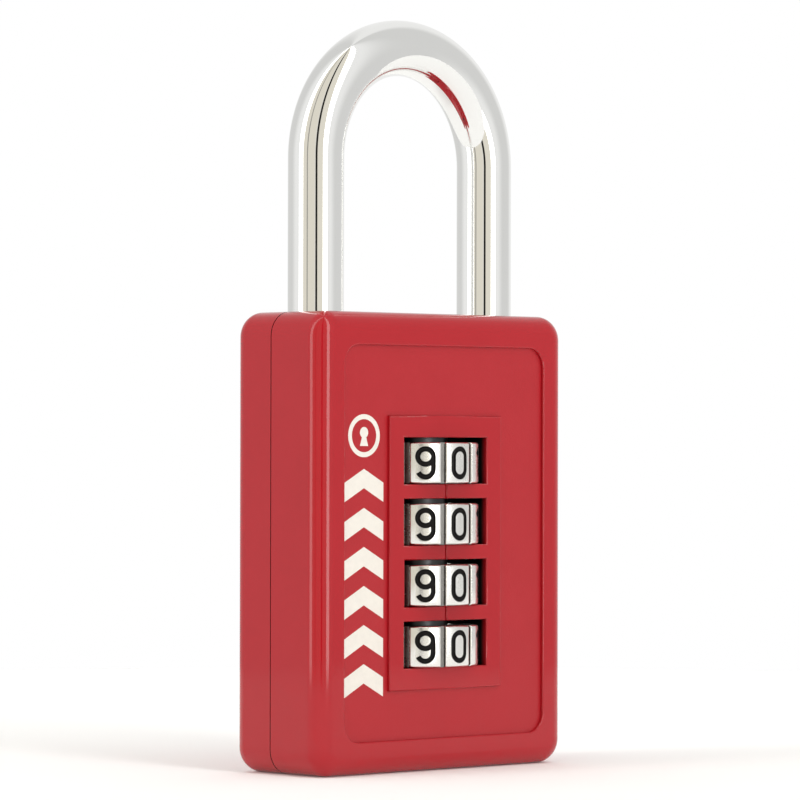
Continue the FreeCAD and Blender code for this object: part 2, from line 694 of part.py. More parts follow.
def check_and_write():
    doc.recompute()
    for thing in doc.Objects:
        faults = [state for state in thing.State if state in ("Invalid", "Error")]
        if faults:
            raise RuntimeError(f"{thing.Name} ({thing.Label}) is {faults}")
    os.makedirs("parts", exist_ok=True)
    for thing in subparts:
        shape = thing.Shape
        if shape.isNull() or not shape.isValid() or not shape.Solids:
            raise RuntimeError(f"{thing.Label} has no valid solid")
        shape.exportStep(f"parts/{thing.Label}.step")
        print(f"{thing.Label}: {len(shape.Solids)} solid, {shape.Volume:.1f} mm3")


fill_sheet()
make_case()
make_shackle()
make_spindle()
make_lift_plate()
for dial_number in range(1, DIAL_COUNT + 1):
    make_dial(dial_number)
    make_clutch(dial_number)
make_bottom_pieces()
make_springs()
make_detent_spring()
check_and_write()
print("body", round(2 * size("half_width"), 2), "wide,", round(size("body_height"), 2), "high,",
      round(size("front_depth") + size("rear_depth"), 2), "deep")
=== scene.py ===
import bmesh
import bpy
import math
from mathutils import Matrix, Vector
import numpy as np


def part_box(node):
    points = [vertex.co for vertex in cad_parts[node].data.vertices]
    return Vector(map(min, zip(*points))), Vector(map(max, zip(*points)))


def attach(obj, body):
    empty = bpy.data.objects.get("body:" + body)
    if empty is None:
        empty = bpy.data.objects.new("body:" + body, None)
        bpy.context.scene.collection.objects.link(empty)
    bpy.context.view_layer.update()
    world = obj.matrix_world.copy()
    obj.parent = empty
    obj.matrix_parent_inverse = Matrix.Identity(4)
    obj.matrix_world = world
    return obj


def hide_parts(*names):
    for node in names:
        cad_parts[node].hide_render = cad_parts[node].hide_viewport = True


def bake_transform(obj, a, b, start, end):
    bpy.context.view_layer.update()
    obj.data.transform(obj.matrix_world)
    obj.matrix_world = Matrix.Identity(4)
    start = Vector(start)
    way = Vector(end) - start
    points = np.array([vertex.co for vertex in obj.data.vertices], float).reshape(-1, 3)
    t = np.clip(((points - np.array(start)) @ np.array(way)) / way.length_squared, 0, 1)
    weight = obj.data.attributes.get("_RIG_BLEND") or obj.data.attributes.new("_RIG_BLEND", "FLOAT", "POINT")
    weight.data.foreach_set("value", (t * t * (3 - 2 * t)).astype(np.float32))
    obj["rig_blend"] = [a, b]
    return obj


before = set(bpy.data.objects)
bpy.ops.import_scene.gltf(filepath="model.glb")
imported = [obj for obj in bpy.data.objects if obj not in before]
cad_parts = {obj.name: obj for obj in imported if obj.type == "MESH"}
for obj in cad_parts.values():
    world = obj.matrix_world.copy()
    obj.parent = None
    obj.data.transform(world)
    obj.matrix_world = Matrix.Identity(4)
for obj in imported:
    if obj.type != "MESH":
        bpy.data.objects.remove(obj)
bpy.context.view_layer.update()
millimetre = 0.001
print("frame loaded:", len(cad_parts), "nodes")


def nodeBox(name):
    low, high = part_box(name)
    return Vector(low), Vector(high)


def ownObject(name, mesh):
    thing = bpy.data.objects.new(name, mesh)
    bpy.context.scene.collection.objects.link(thing)
    return thing


def evaluatedMesh(thing):
    # what the object looks like after its modifiers
    depsgraph = bpy.context.evaluated_depsgraph_get()
    return bpy.data.meshes.new_from_object(thing.evaluated_get(depsgraph))


def declare(piece, body, slotName, *nodeNames):
    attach(piece, body)
    for nodeName in nodeNames:
        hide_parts(nodeName)
    return piece


caseLow, caseHigh = nodeBox("front_case")
rearHigh = nodeBox("rear_case")[1]
caseTop = caseHigh.z
frontFace = caseLow.y        # the rim of the front
jointPlane = caseHigh.y      # where the two halves meet
halfWidth = caseHigh.x
legSide = nodeBox("shackle")[1].x - nodeBox("shackle")[1].y    # axis of a leg from the middle


# camera: a long lens from the front left, a little above the middle of the lock

cameraView = {
    "azimuth": -43.23,       # degrees round from the front
    "distance": 0.4995,
    "height": 0.0371,
    "sideStep": -0.0002,
    "tilt": 0.564,
    "roll": 0.116,
    "lens": 196.2,
    "sensor": 36.0,
}


def makeCamera(v):
    around = math.radians(v["azimuth"])
    out = Vector((math.sin(around), -math.cos(around), 0))
    right = Vector((math.cos(around), math.sin(around), 0))
    up = Vector((0, 0, 1))
    middle = Vector((0, (frontFace + rearHigh.y) / 2, 0))
    place = middle + out * v["distance"] + right * v["sideStep"] + up * v["height"]
    tilt, roll = math.radians(v["tilt"]), math.radians(v["roll"])
    forward = -out * math.cos(tilt) + up * math.sin(tilt)
    upright = out * math.sin(tilt) + up * math.cos(tilt)
    side = right * math.cos(roll) + upright * math.sin(roll)
    top = -right * math.sin(roll) + upright * math.cos(roll)
    data = bpy.data.cameras.new("camera")
    data.lens = v["lens"]
    data.sensor_width = v["sensor"]
    data.clip_start = 0.01
    data.clip_end = 50
    camera = bpy.data.objects.new("camera", data)
    bpy.context.scene.collection.objects.link(camera)
    turn = Matrix((side, top, -forward)).transposed().to_4x4()
    camera.matrix_world = Matrix.Translation(place) @ turn
    bpy.context.scene.camera = camera
    return camera


makeCamera(cameraView)
print("camera placed")


# studio: white surroundings with two brighter strips and two narrow dark gaps

studio = {
    "surround": (0.93, 0.93, 0.92),
    "seen": 1.0,
    "strength": 1.0,
    # azimuth of the middle in degrees, width, softness, colour
    "bands": [
        (-72.0, 52.0, 8.0, (0.80, 0.76, 0.66)),
        (-28.0, 34.0, 6.0, (0.82, 0.78, 0.68)),
        (-106.0, 17.0, 3.0, (3.4, 3.4, 3.3)),
        (-4.0, 17.0, 3.0, (4.8, 4.8, 4.7)),
        (-40.4, 8.0, 2.0, (0.01, 0.01, 0.01)),
        (-78.0, 4.0, 2.0, (0.30, 0.29, 0.27)),
        (60.0, 60.0, 30.0, (0.72, 0.72, 0.71)),
        (-175.0, 60.0, 30.0, (0.72, 0.72, 0.71)),
    ],
    "floorColor": (0.93, 0.93, 0.93),
    "floorGlow": 0.06,           # lets the paper run into the white background
    "floorSize": 0.22,           # small, so that the paint mirrors the strips and not the paper
}


def nodeMaker(tree):
    def make(kind, **values):
        node = tree.nodes.new(kind)
        for key, value in values.items():
            setattr(node, key, value)
        return node
    return make


def mathNode(tree, operation, first, second=None, clamp=False):
    node = tree.nodes.new("ShaderNodeMath")
    node.operation = operation
    node.use_clamp = clamp
    for index, value in enumerate((first, second)):
        if value is None:
            continue
        if isinstance(value, (int, float)):
            node.inputs[index].default_value = value
        else:
            tree.links.new(value, node.inputs[index])
    return node.outputs[0]


def makeStudio(s):
    world = bpy.data.worlds.new("studio")
    bpy.context.scene.world = world
    world.use_nodes = True
    tree = world.node_tree
    tree.nodes.clear()
    make = nodeMaker(tree)
    coords = make("ShaderNodeTexCoord")
    axes = make("ShaderNodeSeparateXYZ")
    tree.links.new(coords.outputs["Generated"], axes.inputs[0])
    back = mathNode(tree, "MULTIPLY", axes.outputs["Y"], -1.0)
    around = mathNode(tree, "ARCTAN2", axes.outputs["X"], back)
    color = None
    for middle, width, soft, shade in s["bands"]:
        # distance round from the middle of the band, the short way
        apart = mathNode(tree, "SUBTRACT", around, math.radians(middle))
        turn = mathNode(tree, "WRAP", apart, math.pi)
        turn.node.inputs[2].default_value = -math.pi
        away = mathNode(tree, "ABSOLUTE", turn)
        ramp = make("ShaderNodeMapRange", interpolation_type="SMOOTHSTEP")
        tree.links.new(away, ramp.inputs["Value"])
        ramp.inputs["From Min"].default_value = math.radians(width / 2 + soft / 2)
        ramp.inputs["From Max"].default_value = math.radians(width / 2 - soft / 2)
        mix = make("ShaderNodeMix", data_type="RGBA")
        tree.links.new(ramp.outputs["Result"], mix.inputs["Factor"])
        if color is None:
            mix.inputs[6].default_value = (*s["surround"], 1)
        else:
            tree.links.new(color, mix.inputs[6])
        mix.inputs[7].default_value = (*shade, 1)
        color = mix.outputs[2]
    lit = make("ShaderNodeBackground")
    tree.links.new(color, lit.inputs["Color"])
    lit.inputs["Strength"].default_value = s["strength"]
    seen = make("ShaderNodeBackground")
    seen.inputs["Color"].default_value = (1, 1, 1, 1)
    seen.inputs["Strength"].default_value = s["seen"]
    rays = make("ShaderNodeLightPath")
    choose = make("ShaderNodeMixShader")
    tree.links.new(rays.outputs["Is Camera Ray"], choose.inputs[0])
    tree.links.new(lit.outputs[0], choose.inputs[1])
    tree.links.new(seen.outputs[0], choose.inputs[2])
    out = make("ShaderNodeOutputWorld")
    tree.links.new(choose.outputs[0], out.inputs[0])

    bpy.ops.mesh.primitive_circle_add(vertices=96, radius=s["floorSize"], fill_type="NGON")
    floor = bpy.context.object
    floor.name = "floor"
    paper = bpy.data.materials.new("palePaper")
    paper.use_nodes = True
    shader = paper.node_tree.nodes["Principled BSDF"]
    shader.inputs["Base Color"].default_value = (*s["floorColor"], 1)
    shader.inputs["Roughness"].default_value = 0.9
    shader.inputs["Specular IOR Level"].default_value = 0.1
    shader.inputs["Emission Color"].default_value = (1, 1, 1, 1)
    shader.inputs["Emission Strength"].default_value = s["floorGlow"]
    floor.data.materials.append(paper)
    bpy.context.scene.view_settings.view_transform = "Standard"
    bpy.context.scene.view_settings.look = "None"


makeStudio(studio)
print("studio lit")


# effects that several materials share

def shaderGroup(name, inputs, outputs):
    group = bpy.data.node_groups.new(name, "ShaderNodeTree")
    for label, kind, value in inputs:
        socket = group.interface.new_socket(label, in_out="INPUT", socket_type=kind)
        if value is not None:
            socket.default_value = value
    for label, kind in outputs:
        group.interface.new_socket(label, in_out="OUTPUT", socket_type=kind)
    return group, group.nodes.new("NodeGroupInput"), group.nodes.new("NodeGroupOutput")


def makeGrainGroup():
    group, entry, leave = shaderGroup("surfaceGrain", [
        ("Vector", "NodeSocketVector", None), ("Size", "NodeSocketFloat", 0.3),
        ("Depth", "NodeSocketFloat", 0.01), ("Detail", "NodeSocketFloat", 2.0),
        ("Normal", "NodeSocketVector", None),
    ], [("Normal", "NodeSocketVector"), ("Mask", "NodeSocketFloat")])
    make = nodeMaker(group)
    noise = make("ShaderNodeTexNoise")
    # sizes come in as millimetres, and the coordinates are in metres
    scale = mathNode(group, "DIVIDE", 1 / millimetre, entry.outputs["Size"])
    group.links.new(entry.outputs["Vector"], noise.inputs["Vector"])
    group.links.new(scale, noise.inputs["Scale"])
    group.links.new(entry.outputs["Detail"], noise.inputs["Detail"])
    bump = make("ShaderNodeBump")
    depth = mathNode(group, "MULTIPLY", entry.outputs["Depth"], millimetre)
    group.links.new(depth, bump.inputs["Distance"])
    group.links.new(noise.outputs[0], bump.inputs["Height"])
    group.links.new(entry.outputs["Normal"], bump.inputs["Normal"])
    group.links.new(bump.outputs[0], leave.inputs["Normal"])
    group.links.new(noise.outputs[0], leave.inputs["Mask"])
    return group


def makeSmudgeGroup():
    group, entry, leave = shaderGroup("handledSurface", [
        ("Vector", "NodeSocketVector", None), ("Size", "NodeSocketFloat", 8.0),
        ("Low", "NodeSocketFloat", 0.1), ("High", "NodeSocketFloat", 0.2),
    ], [("Roughness", "NodeSocketFloat"), ("Mask", "NodeSocketFloat")])
    make = nodeMaker(group)
    noise = make("ShaderNodeTexNoise")
    noise.inputs["Detail"].default_value = 5
    noise.inputs["Roughness"].default_value = 0.65
    scale = mathNode(group, "DIVIDE", 1 / millimetre, entry.outputs["Size"])
    group.links.new(entry.outputs["Vector"], noise.inputs["Vector"])
    group.links.new(scale, noise.inputs["Scale"])
    ramp = make("ShaderNodeMapRange", interpolation_type="SMOOTHSTEP")
    ramp.inputs["From Min"].default_value = 0.3
    ramp.inputs["From Max"].default_value = 0.75
    group.links.new(noise.outputs[0], ramp.inputs["Value"])
    group.links.new(entry.outputs["Low"], ramp.inputs["To Min"])
    group.links.new(entry.outputs["High"], ramp.inputs["To Max"])
    group.links.new(ramp.outputs["Result"], leave.inputs["Roughness"])
    group.links.new(noise.outputs[0], leave.inputs["Mask"])
    return group


grainGroup = makeGrainGroup()
smudgeGroup = makeSmudgeGroup()


def placeGroup(tree, group, coords, **values):
    node = tree.nodes.new("ShaderNodeGroup")
    node.node_tree = group
    tree.links.new(coords, node.inputs["Vector"])
    for key, value in values.items():
        node.inputs[key].default_value = value
    return node


def newMaterial(name):
    material = bpy.data.materials.new(name)
    material.use_nodes = True
    tree = material.node_tree
    shader = tree.nodes["Principled BSDF"]
    coords = tree.nodes.new("ShaderNodeTexCoord").outputs["Object"]
    return material, tree, shader, coords


def blendColor(tree, mask, first, second):
    mix = tree.nodes.new("ShaderNodeMix")
    mix.data_type = "RGBA"
    tree.links.new(mask, mix.inputs["Factor"])
    mix.inputs[6].default_value = (*first, 1)
    mix.inputs[7].default_value = (*second, 1)
    return mix.outputs[2]


redPaint = {
    "color": (0.42, 0.008, 0.016),
    "deepColor": (0.38, 0.006, 0.012),
    "rough": (0.05, 0.10),
    "peelSize": 2.2,
    "peelDepth": 0.006,
    "grainSize": 0.16,
    "grainDepth": 0.018,
    "grainRough": (0.34, 0.42),
    "paintedShade": (0.004, 0.0035, 0.0035),      # painted shade: the paint turns near black deep inside the openings, as if no light reached there
    # depths behind the front face over which the painted shade comes in
    "shadeFrom": 0.1 * millimetre,
    "shadeTo": 1.05 * millimetre,
}


def makePaint(name, p, grained):
    material, tree, shader, coords = newMaterial(name)
    low, high = p["grainRough"] if grained else p["rough"]
    smudge = placeGroup(tree, smudgeGroup, coords, Size=6.0, Low=low, High=high)
    size, depth = (p["grainSize"], p["grainDepth"]) if grained else (p["peelSize"], p["peelDepth"])
    grain = placeGroup(tree, grainGroup, coords, Size=size, Depth=depth, Detail=2.0)
    color = blendColor(tree, smudge.outputs["Mask"], p["deepColor"], p["color"])
    tree.links.new(color, shader.inputs["Base Color"])
    tree.links.new(smudge.outputs["Roughness"], shader.inputs["Roughness"])
    tree.links.new(grain.outputs["Normal"], shader.inputs["Normal"])
    shader.inputs["IOR"].default_value = 1.5
    shader.inputs["Specular IOR Level"].default_value = 0.44
    return material


def makeMetal(name, color, darker, rough, grainSize=0.0, grainDepth=0.0, stretch=None):
    material, tree, shader, coords = newMaterial(name)
    smudge = placeGroup(tree, smudgeGroup, coords, Size=5.0, Low=rough[0], High=rough[1])
    tint = blendColor(tree, smudge.outputs["Mask"], darker, color)
    tree.links.new(tint, shader.inputs["Base Color"])
    tree.links.new(smudge.outputs["Roughness"], shader.inputs["Roughness"])
    shader.inputs["Metallic"].default_value = 1.0
    if grainDepth:
        around = coords
        if stretch:
            mapping = tree.nodes.new("ShaderNodeMapping")
            mapping.inputs["Scale"].default_value = stretch
            tree.links.new(coords, mapping.inputs["Vector"])
            around = mapping.outputs[0]
        grain = placeGroup(tree, grainGroup, around, Size=grainSize, Depth=grainDepth, Detail=3.0)
        tree.links.new(grain.outputs["Normal"], shader.inputs["Normal"])
    return material


def makeShadedRecessPaint(name, p):
    # paint with painted shade for the inside of the case: it darkens from the deeper paint tone to near
    # black with depth behind the front face, and barely reflects
    material, tree, shader, coords = newMaterial(name)
    axes = tree.nodes.new("ShaderNodeSeparateXYZ")
    tree.links.new(coords, axes.inputs[0])
    deep = tree.nodes.new("ShaderNodeMapRange")
    deep.interpolation_type = "SMOOTHSTEP"
    deep.inputs["From Min"].default_value = frontFace + p["shadeFrom"]
    deep.inputs["From Max"].default_value = frontFace + p["shadeTo"]
    tree.links.new(axes.outputs["Y"], deep.inputs["Value"])
    color = blendColor(tree, deep.outputs["Result"], p["deepColor"], p["paintedShade"])
    tree.links.new(color, shader.inputs["Base Color"])
    grain = placeGroup(tree, grainGroup, coords, Size=0.3, Depth=0.01, Detail=2.0)
    tree.links.new(grain.outputs["Normal"], shader.inputs["Normal"])
    shader.inputs["Roughness"].default_value = 0.6
    shader.inputs["Specular IOR Level"].default_value = 0.08
    return material


smoothPaint = makePaint("redPaintSmooth", redPaint, False)
shadedRecessPaint = makeShadedRecessPaint("redPaintRecess", redPaint)
grainedPaint = makePaint("redPaintGrained", redPaint, True)
barChrome = makeMetal("barChrome", (0.88, 0.88, 0.87), (0.85, 0.85, 0.84), (0.03, 0.07))
dialChrome = makeMetal("dialChrome", (0.86, 0.85, 0.82), (0.80, 0.79, 0.76), (0.20, 0.30),
                       0.12, 0.003)
castZinc = makeMetal("castZinc", (0.62, 0.62, 0.61), (0.50, 0.50, 0.50), (0.38, 0.55), 0.2, 0.01)
stampedSteel = makeMetal("stampedSteel", (0.60, 0.60, 0.61), (0.48, 0.48, 0.49), (0.25, 0.40),
                         0.1, 0.006, (1, 1, 0.1))
springSteel = makeMetal("springSteel", (0.52, 0.52, 0.55), (0.38, 0.38, 0.41), (0.22, 0.35))
turnedBrass = makeMetal("turnedBrass", (0.80, 0.62, 0.32), (0.68, 0.50, 0.24), (0.20, 0.34),
                        0.08, 0.005, (0.1, 0.1, 1))


def makeInk(name, color, rough, shine):
    material, tree, shader, coords = newMaterial(name)
    smudge = placeGroup(tree, smudgeGroup, coords, Size=0.7, Low=rough[0], High=rough[1])
    shader.inputs["Specular IOR Level"].default_value = shine
    tint = blendColor(tree, smudge.outputs["Mask"], [c * 0.86 for c in color], color)
    tree.links.new(tint, shader.inputs["Base Color"])
    tree.links.new(smudge.outputs["Roughness"], shader.inputs["Roughness"])
    grain = placeGroup(tree, grainGroup, coords, Size=0.18, Depth=0.006, Detail=2.0)
    tree.links.new(grain.outputs["Normal"], shader.inputs["Normal"])
    return material


blackSteel = makeMetal("blackSteel", (0.075, 0.075, 0.08), (0.05, 0.05, 0.052), (0.3, 0.45),
                       0.12, 0.006)
# groove floors: darker chrome, partly black paint residue and partly painted shade in the deep grooves
grooveChrome = makeMetal("grooveChrome", (0.24, 0.23, 0.22), (0.10, 0.095, 0.09), (0.22, 0.36),
                         0.15, 0.008)
rivetPaint = smoothPaint
blackFill = makeInk("blackFill", (0.009, 0.008, 0.008), (0.35, 0.55), 0.15)
whiteInk = makeInk("whiteInk", (0.84, 0.80, 0.74), (0.45, 0.65), 0.4)
print("materials ready")


# clean copies of the cast shapes, with small rounds where the casting has them

caseCorner = 2.8 * millimetre     # radius of the case corners seen from the front

castEdges = {
    "round": 0.16 * millimetre,
    "segments": 3,
    "mergeWithin": 0.002 * millimetre,
    "flatWithin": 0.4,           # degrees
    "sharpFrom": 32.0,           # degrees
    "flatWeight": 50,            # how much a large face holds the shading flat
    "near": 0.02 * millimetre,
    "onSide": 0.03 * millimetre,
    "onCorner": 0.05 * millimetre,
}


def cleanCopy(nodeName, pieceName, materials):
    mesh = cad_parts[nodeName].data.copy()
    mesh.name = pieceName
    build = bmesh.new()
    build.from_mesh(mesh)
    bmesh.ops.remove_doubles(build, verts=build.verts, dist=castEdges["mergeWithin"])
    bmesh.ops.dissolve_limit(build, angle_limit=math.radians(castEdges["flatWithin"]),
                             verts=build.verts, edges=build.edges, delimit={"NORMAL"})
    build.to_mesh(mesh)
    build.free()
    for name in [layer.name for layer in mesh.attributes if layer.name == "custom_normal"]:
        mesh.attributes.remove(mesh.attributes[name])
    mesh.materials.clear()
    for material in materials:
        mesh.materials.append(material)
    for face in mesh.polygons:
        face.material_index = 0
    piece = ownObject(pieceName, mesh)
    mesh.shade_smooth()
    mesh.set_sharp_from_angle(angle=math.radians(castEdges["sharpFrom"]))
    return piece


def weightEdges(piece, wanted):
    mesh = piece.data
    build = bmesh.new()
    build.from_mesh(mesh)
    weights = build.edges.layers.float.new("bevel_weight_edge")
    limit = math.radians(castEdges["sharpFrom"])
    for edge in build.edges:
        sharp = len(edge.link_faces) == 2 and edge.calc_face_angle(0) >= limit
        if sharp and wanted(edge.verts[0].co, edge.verts[1].co):
            edge[weights] = 1.0
    build.to_mesh(mesh)
    build.free()


def finishModifiers(piece):
    mesh = evaluatedMesh(piece)
    piece.modifiers.clear()
    piece.data = mesh
    return piece


def roundEdges(piece):
    bevel = piece.modifiers.new("castRound", "BEVEL")
    bevel.limit_method = "WEIGHT"
    bevel.width = castEdges["round"]
    bevel.segments = castEdges["segments"]
    bevel.use_clamp_overlap = False
    faces = piece.modifiers.new("flatFaces", "WEIGHTED_NORMAL")
    faces.mode = "FACE_AREA"
    faces.weight = castEdges["flatWeight"]
    faces.keep_sharp = True
    return finishModifiers(piece)


def near(value, target):
    return abs(value - target) < castEdges["near"]


def onRim(point):
    # on the outline of the case seen from the front
    side = abs(point.x) - halfWidth
    low, high = caseCorner - point.z, point.z - caseTop + caseCorner
    onSide = (side > -castEdges["onSide"] or point.z < castEdges["onSide"]
              or point.z > caseTop - castEdges["onSide"])
    inCorner = side > -caseCorner and max(low, high) >= 0
    reach = math.hypot(side + caseCorner, max(low, high))
    return onSide or (inCorner and reach > caseCorner - castEdges["onCorner"])


def wantedFront(a, b):
    onFace = near(a.y, frontFace) and near(b.y, frontFace)
    onJoint = near(a.y, jointPlane) and near(b.y, jointPlane)
    return onFace or (onJoint and onRim(a) and onRim(b))


def wantedRear(a, b):
    # the joint is rounded on the front half only
    return near(a.y, rearHigh.y) and near(b.y, rearHigh.y)


recess = {
    "innerHalf": 17.8 * millimetre,        # everything hollow lies inside this, across
    "floor": 1.5 * millimetre,
    "roof": 50.5 * millimetre,
    "behindPanel": 0.46 * millimetre,      # from the front face, just under the sunk panel
    "behindRear": 0.9 * millimetre,
    "legRoom": 3.5 * millimetre,           # round the axis of a leg
    "underTop": 0.1 * millimetre,
    "panelDepth": (0.3 * millimetre, 0.5 * millimetre),
    "facesFront": -0.9,
}


def insideCase(center):
    front = frontFace + recess["behindPanel"]
    within = abs(center.x) < recess["innerHalf"] and recess["floor"] < center.z < recess["roof"]
    hollow = within and front < center.y < rearHigh.y - recess["behindRear"]
    legHole = (math.hypot(abs(center.x) - legSide, center.y) < recess["legRoom"]
               and recess["roof"] <= center.z < caseTop - recess["underTop"])
    return hollow or legHole


def onPanelFloor(face):
    low, high = recess["panelDepth"]
    depth = face.center.y - frontFace
    return low < depth < high and face.normal.y < recess["facesFront"]


def makeHalf(nodeName, pieceName, wanted):
    piece = cleanCopy(nodeName, pieceName, [smoothPaint, grainedPaint, shadedRecessPaint])
    weightEdges(piece, wanted)
    roundEdges(piece)
    # index 1 is the grained paint on the sunk panel floor, index 2 the painted shade material on faces
    # inside the case and its leg holes
    for face in piece.data.polygons:
        if onPanelFloor(face):
            face.material_index = 1
        elif insideCase(face.center):
            face.material_index = 2
    declare(piece, "case", "red_paint", nodeName)


makeHalf("front_case", "frontCase", wantedFront)
makeHalf("rear_case", "rearCase", wantedRear)
print("case made")


# Geometry Nodes trees that several pieces use

def startTree(name, inputs):
    tree = bpy.data.node_groups.new(name, "GeometryNodeTree")
    tree.interface.new_socket("Geometry", in_out="INPUT", socket_type="NodeSocketGeometry")
    for label, kind in inputs:
        tree.interface.new_socket(label, in_out="INPUT", socket_type=kind)
    tree.interface.new_socket("Geometry", in_out="OUTPUT", socket_type="NodeSocketGeometry")
    return tree, tree.nodes.new("NodeGroupInput"), tree.nodes.new("NodeGroupOutput")


def finishTree(tree, entry, leave, geometry):
    realize = tree.nodes.new("GeometryNodeRealizeInstances")
    finish = tree.nodes.new("GeometryNodeSetMaterial")
    tree.links.new(geometry, realize.inputs["Geometry"])
    tree.links.new(realize.outputs[0], finish.inputs["Geometry"])
    tree.links.new(entry.outputs["Material"], finish.inputs["Material"])
    tree.links.new(finish.outputs[0], leave.inputs["Geometry"])
    return tree


def runTree(thing, tree, values):
    modifier = thing.modifiers.new(tree.name, "NODES")
    modifier.node_group = tree
    for item in tree.interface.items_tree:
        if item.item_type == "SOCKET" and item.in_out == "INPUT" and item.name in values:
            modifier[item.identifier] = values[item.name]
    mesh = evaluatedMesh(thing)
    mesh.name = thing.name
    thing.modifiers.clear()
    if thing.type == "MESH":
        thing.data = mesh
        return thing
    name = thing.name
    bpy.data.objects.remove(thing)
    return ownObject(name, mesh)


def smoothMesh(piece, sharpFrom):
    piece.data.shade_smooth()
    piece.data.set_sharp_from_angle(angle=math.radians(sharpFrom))


def makeSweepTree():
    tree, entry, leave = startTree("sweptBar", [
        ("Sides", "NodeSocketInt"), ("Material", "NodeSocketMaterial")])
    ring = tree.nodes.new("GeometryNodeCurvePrimitiveCircle")
    sweep = tree.nodes.new("GeometryNodeCurveToMesh")
    thickness = tree.nodes.new("GeometryNodeInputRadius")
    ring.inputs["Radius"].default_value = 1.0
    sweep.inputs["Fill Caps"].default_value = True
    tree.links.new(entry.outputs["Sides"], ring.inputs["Resolution"])
    tree.links.new(entry.outputs["Geometry"], sweep.inputs["Curve"])
    tree.links.new(ring.outputs["Curve"], sweep.inputs["Profile Curve"])
    tree.links.new(thickness.outputs[0], sweep.inputs["Scale"])
    return finishTree(tree, entry, leave, sweep.outputs[0])


def makeCoilTree():
    tree, entry, leave = startTree("coilSpring", [
        ("Coil radius", "NodeSocketFloat"), ("Wire radius", "NodeSocketFloat"),
        ("Turns", "NodeSocketFloat"), ("Height", "NodeSocketFloat"),
        ("Closed turns", "NodeSocketFloat"), ("Steps", "NodeSocketInt"),
        ("Sides", "NodeSocketInt"), ("Place", "NodeSocketVector"),
        ("Material", "NodeSocketMaterial")])
    spiral = tree.nodes.new("GeometryNodeCurveSpiral")
    for source, target in (("Steps", "Resolution"), ("Turns", "Rotations"),
                           ("Coil radius", "Start Radius"), ("Coil radius", "End Radius")):
        tree.links.new(entry.outputs[source], spiral.inputs[target])
    spiral.inputs["Height"].default_value = 0.0
    along = tree.nodes.new("GeometryNodeSplineParameter")
    # the end turns lie on the next turn, and only the middle ones rise
    turn = mathNode(tree, "MULTIPLY", along.outputs["Factor"], entry.outputs["Turns"])
    closed = entry.outputs["Closed turns"]
    wire = mathNode(tree, "MULTIPLY", entry.outputs["Wire radius"], 2.0)
    lower = mathNode(tree, "MINIMUM", turn, closed)
    upperStart = mathNode(tree, "SUBTRACT", entry.outputs["Turns"], closed)
    upper = mathNode(tree, "MAXIMUM", mathNode(tree, "SUBTRACT", turn, upperStart), 0.0)
    middleTurns = mathNode(tree, "SUBTRACT", upperStart, closed)
    passed = mathNode(tree, "SUBTRACT", mathNode(tree, "SUBTRACT", turn, lower), upper)
    share = mathNode(tree, "DIVIDE", passed, middleTurns)
    ends = mathNode(tree, "MULTIPLY", mathNode(tree, "ADD", lower, upper), wire)
    closedHeight = mathNode(tree, "MULTIPLY", mathNode(tree, "MULTIPLY", closed, 2.0), wire)
    span = mathNode(tree, "SUBTRACT", mathNode(tree, "SUBTRACT", entry.outputs["Height"], wire),
                    closedHeight)
    rise = mathNode(tree, "ADD", mathNode(tree, "MULTIPLY", span, share), ends)
    lift = mathNode(tree, "ADD", rise, entry.outputs["Wire radius"])
    shift = tree.nodes.new("ShaderNodeCombineXYZ")
    tree.links.new(lift, shift.inputs["Z"])
    moved = tree.nodes.new("GeometryNodeSetPosition")
    tree.links.new(spiral.outputs[0], moved.inputs["Geometry"])
    tree.links.new(shift.outputs[0], moved.inputs["Offset"])
    ring = tree.nodes.new("GeometryNodeCurvePrimitiveCircle")
    tree.links.new(entry.outputs["Sides"], ring.inputs["Resolution"])
    tree.links.new(entry.outputs["Wire radius"], ring.inputs["Radius"])
    sweep = tree.nodes.new("GeometryNodeCurveToMesh")
    sweep.inputs["Fill Caps"].default_value = True
    tree.links.new(moved.outputs[0], sweep.inputs["Curve"])
    tree.links.new(ring.outputs["Curve"], sweep.inputs["Profile Curve"])
    put = tree.nodes.new("GeometryNodeTransform")
    tree.links.new(sweep.outputs[0], put.inputs["Geometry"])
    tree.links.new(entry.outputs["Place"], put.inputs["Translation"])
    return finishTree(tree, entry, leave, put.outputs[0])


def makeRepeatTree():
    tree, entry, leave = startTree("shapeOnPoints", [
        ("Shape", "NodeSocketObject"), ("Material", "NodeSocketMaterial")])
    source = tree.nodes.new("GeometryNodeObjectInfo")
    copies = tree.nodes.new("GeometryNodeInstanceOnPoints")
    tree.links.new(entry.outputs["Shape"], source.inputs["Object"])
    tree.links.new(entry.outputs["Geometry"], copies.inputs["Points"])
    tree.links.new(source.outputs["Geometry"], copies.inputs["Instance"])
    return finishTree(tree, entry, leave, copies.outputs[0])


sweepTree = makeSweepTree()
coilTree = makeCoilTree()
repeatTree = makeRepeatTree()


def pointsObject(name, places):
    mesh = bpy.data.meshes.new(name)
    mesh.from_pydata(places, [], [])
    return ownObject(name, mesh)


def addPath(curve, places, closed=False):
    # places: (x, y, z, radius of the bar there)
    spline = curve.splines.new("POLY")
    spline.use_cyclic_u = closed
    spline.points.add(len(places) - 1)
    for point, (x, y, z, radius) in zip(spline.points, places):
        point.co = (x, y, z, 1)
        point.radius = radius


def pathCurve(name):
    curve = bpy.data.curves.new(name, "CURVE")
    curve.dimensions = "3D"
    return curve


def repeatShape(name, shape, places, material):
    piece = runTree(pointsObject(name, places), repeatTree, {"Shape": shape, "Material": material})
    bpy.data.objects.remove(shape)
    return piece


# shackle: one round bar, necked near the end of the heel leg

